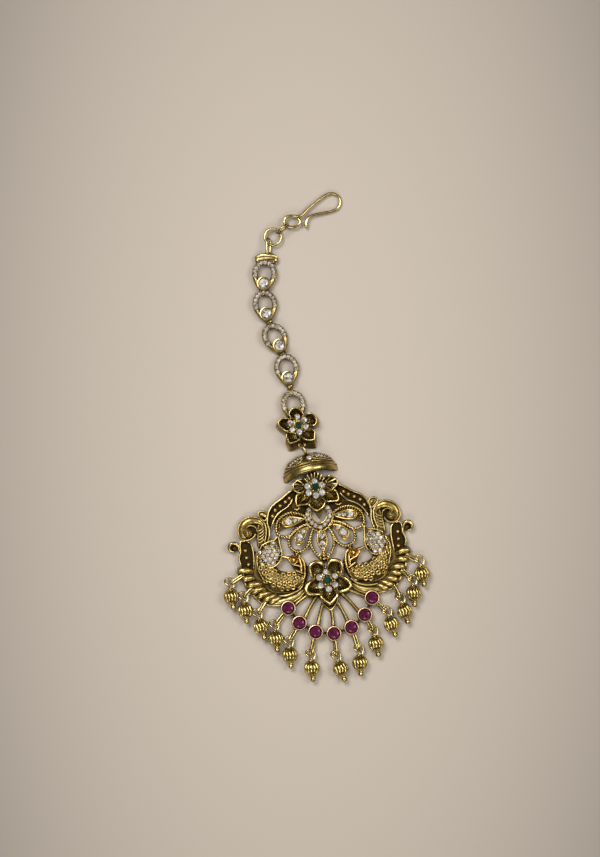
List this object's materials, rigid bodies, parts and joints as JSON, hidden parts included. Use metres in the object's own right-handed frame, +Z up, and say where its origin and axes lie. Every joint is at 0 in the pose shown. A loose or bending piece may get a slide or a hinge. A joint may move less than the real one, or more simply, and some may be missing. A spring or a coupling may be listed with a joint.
{
  "type": "maang tikka hair jewel",
  "caption": "Forehead jewel: hair hook, chain of paved ovals, flower, half bell and an openwork peacock pendant edged with red stones and hanging fluted beads.",
  "frame": {"origin": "centre of the jewel's box as it lies on its back, at the surface that it lies on", "axes": "+Z up from the surface, +Y from the beads towards the hook, +X to the right of the pendant seen from its face"},
  "size_m": [0.051, 0.1226, 0.005],
  "materials": {
    "antique_gold": "antique gold plating, bright on the high spots and oxidised dark brown in the recesses",
    "wire_gold": "polished antique gold wire with darker tarnish",
    "bead_gold": "polished fluted gold with dark grooves",
    "red_stone": "deep magenta red cut stone",
    "green_stone": "dark emerald green cut stone",
    "clear_stone": "clear faceted stone"
  },
  "bodies": {
    "root": {"chain_link_1": "antique_gold", "chain_link_2": "antique_gold", "chain_link_3": "antique_gold", "chain_link_4": "antique_gold", "dome_cap": "antique_gold", "dome_stone": "clear_stone", "drop_bead_1": "bead_gold", "drop_bead_10": "bead_gold", "drop_bead_11": "bead_gold", "drop_bead_12": "bead_gold", "drop_bead_13": "bead_gold", "drop_bead_2": "bead_gold", "drop_bead_3": "bead_gold", "drop_bead_4": "bead_gold", "drop_bead_5": "bead_gold", "drop_bead_6": "bead_gold", "drop_bead_7": "bead_gold", "drop_bead_8": "bead_gold", "drop_bead_9": "bead_gold", "drop_pin_1": "wire_gold", "drop_pin_10": "wire_gold", "drop_pin_11": "wire_gold", "drop_pin_12": "wire_gold", "drop_pin_13": "wire_gold", "drop_pin_2": "wire_gold", "drop_pin_3": "wire_gold", "drop_pin_4": "wire_gold", "drop_pin_5": "wire_gold", "drop_pin_6": "wire_gold", "drop_pin_7": "wire_gold", "drop_pin_8": "wire_gold", "drop_pin_9": "wire_gold", "flower_link": "antique_gold", "green_stone_bottom": "green_stone", "green_stone_chain": "green_stone", "green_stone_top": "green_stone", "hook": "wire_gold", "link_stone_1": "clear_stone", "link_stone_2": "clear_stone", "link_stone_3": "clear_stone", "link_stone_4": "clear_stone", "pendant_frame": "antique_gold", "ring_dome": "wire_gold", "ring_flower": "wire_gold", "ring_round": "wire_gold", "ring_upper": "wire_gold", "ruby_1": "red_stone", "ruby_2": "red_stone", "ruby_3": "red_stone", "ruby_4": "red_stone", "ruby_5": "red_stone", "ruby_6": "red_stone", "ruby_7": "red_stone"}
  },
  "joints": []
}
